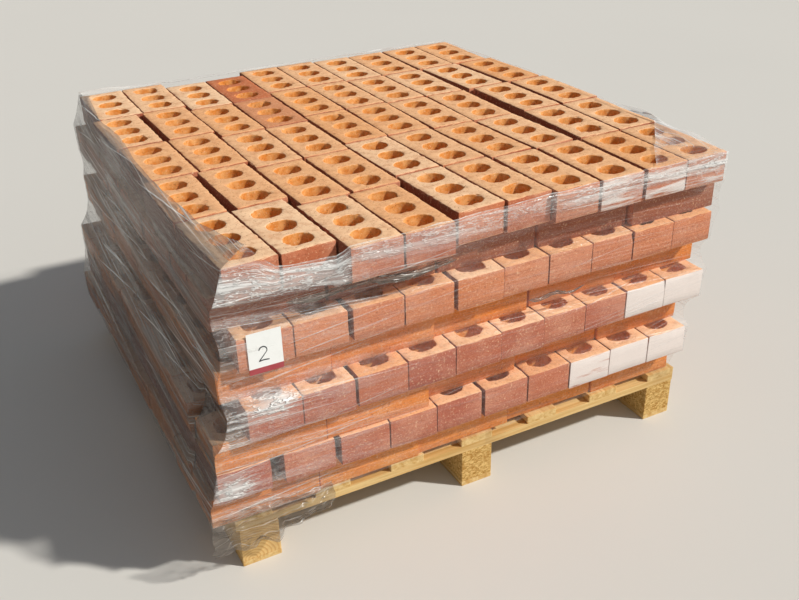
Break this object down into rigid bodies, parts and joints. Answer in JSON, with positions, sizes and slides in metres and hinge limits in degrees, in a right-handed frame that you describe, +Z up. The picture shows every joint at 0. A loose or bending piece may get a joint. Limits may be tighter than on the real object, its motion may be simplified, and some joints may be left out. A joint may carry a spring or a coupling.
{
  "type": "pallet of bricks",
  "caption": "Square stack of perforated clay bricks on a wooden block pallet, wrapped in clear stretch film, open at the top, lifted by fork tines under the deck.",
  "frame": {"origin": "middle of the footprint, at ground level", "axes": "+Z up, the pictured front face looks towards -Y, +X to the right along it"},
  "size_m": [1.1606, 1.1338, 0.6423],
  "materials": {
    "brick": "matt fired clay",
    "pallet_board": "rough sawn",
    "pallet_block": "sawn and pressed chip",
    "film": "clear, wrinkled",
    "card": "matt printed"
  },
  "bodies": {
    "root": {"course_8": "brick", "course_7": "brick", "course_6": "brick", "course_5": "brick", "course_4": "brick", "course_3": "brick", "course_2": "brick", "course_1": "brick", "inner_bricks": "brick", "deck_boards": "pallet_board", "bearer_boards": "pallet_board", "pallet_blocks": "pallet_block", "bottom_boards": "pallet_board", "stretch_film": "film", "label_card": "card"}
  },
  "joints": []
}
